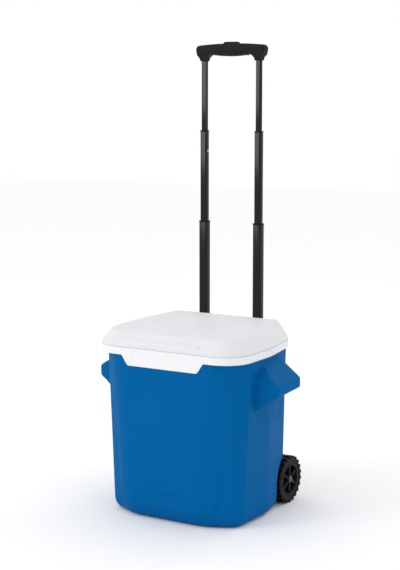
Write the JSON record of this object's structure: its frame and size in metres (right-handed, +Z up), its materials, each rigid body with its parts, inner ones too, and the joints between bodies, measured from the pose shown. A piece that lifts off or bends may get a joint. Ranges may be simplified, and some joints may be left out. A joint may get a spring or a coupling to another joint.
{
  "type": "wheeled cooler",
  "caption": "Small insulated cooler on wheels: tapered tub with moulded side grips, lift-off lid with a front pull tab, and a telescopic pull handle behind it.",
  "frame": {"origin": "on the ground, at the middle of the whole cooler's width and depth", "axes": "+X to the cooler's right seen from the front, -Y the front with the pull tab, +Z up along the pull handle"},
  "size_m": [0.445, 0.329, 0.998],
  "materials": {
    "shell_blue": "satin",
    "lid_grey": "satin",
    "liner_white": "satin",
    "foam": "matte",
    "housing_black": "matte",
    "wheel_black": "satin",
    "tube_black": "gloss",
    "grip_grey": "matte",
    "button_black": "satin",
    "bush_black": "satin",
    "zinc_steel": "satin",
    "cap_steel": "polished"
  },
  "bodies": {
    "tub": {"outer_shell": "shell_blue", "inner_liner": "liner_white", "foam_core": "foam", "handle_housing": "housing_black", "housing_screws": "zinc_steel", "axle_rod": "zinc_steel", "axle_washers": "zinc_steel", "left_hub_cap": "cap_steel", "right_hub_cap": "cap_steel", "left_tube_guide": "bush_black", "right_tube_guide": "bush_black"},
    "lid": {"lid_cover": "lid_grey", "lid_liner": "liner_white", "lid_foam": "foam"},
    "left_wheel_body": {"left_wheel": "wheel_black"},
    "right_wheel_body": {"right_wheel": "wheel_black"},
    "handle_outer": {"left_outer_tube": "tube_black", "right_outer_tube": "tube_black", "left_outer_stop": "bush_black", "right_outer_stop": "bush_black", "left_outer_bush": "bush_black", "right_outer_bush": "bush_black"},
    "handle_mid": {"left_mid_tube": "tube_black", "right_mid_tube": "tube_black", "left_mid_slider": "bush_black", "right_mid_slider": "bush_black", "left_mid_bush": "bush_black", "right_mid_bush": "bush_black"},
    "handle_inner": {"left_inner_tube": "tube_black", "right_inner_tube": "tube_black", "left_inner_slider": "bush_black", "right_inner_slider": "bush_black", "handle_front": "grip_grey", "handle_rear": "grip_grey", "handle_screws": "zinc_steel", "button_spring": "zinc_steel"},
    "button": {"release_button": "button_black", "button_crossbar": "bush_black", "push_rods": "zinc_steel"},
    "left_snap": {"left_snap_button": "zinc_steel"},
    "right_snap": {"right_snap_button": "zinc_steel"}
  },
  "joints": [
    {"name": "lid_lift", "type": "slide", "parent": "tub", "child": "lid", "axis": [0, 0, 1], "range_m": [0, 0.12]},
    {"name": "left_wheel_spin", "type": "hinge", "parent": "tub", "child": "left_wheel_body", "pos_m": [-0.136, 0.11265, 0.052], "axis": [1, 0, 0], "continuous": true},
    {"name": "right_wheel_spin", "type": "hinge", "parent": "tub", "child": "right_wheel_body", "pos_m": [0.136, 0.11265, 0.052], "axis": [1, 0, 0], "continuous": true},
    {"name": "outer_slide", "type": "slide", "parent": "tub", "child": "handle_outer", "axis": [0, 0, 1], "range_m": [-0.215, 0]},
    {"name": "mid_slide", "type": "slide", "parent": "handle_outer", "child": "handle_mid", "axis": [0, 0, 1], "range_m": [-0.195, 0]},
    {"name": "inner_slide", "type": "slide", "parent": "handle_mid", "child": "handle_inner", "axis": [0, 0, 1], "range_m": [-0.148, 0]},
    {"name": "button_press", "type": "slide", "parent": "handle_inner", "child": "button", "axis": [0, 0, -1], "range_m": [0, 0.0035], "stiffness_N_per_m": 300, "springref_m": -0.006, "deforming": ["button_spring"]},
    {"name": "left_snap_press", "type": "slide", "parent": "handle_mid", "child": "left_snap", "axis": [-1, 0, 0], "range_m": [0, 0.0009], "stiffness_N_per_m": 300, "springref_m": -0.003},
    {"name": "right_snap_press", "type": "slide", "parent": "handle_mid", "child": "right_snap", "axis": [1, 0, 0], "range_m": [0, 0.0009], "stiffness_N_per_m": 300, "springref_m": -0.003}
  ]
}
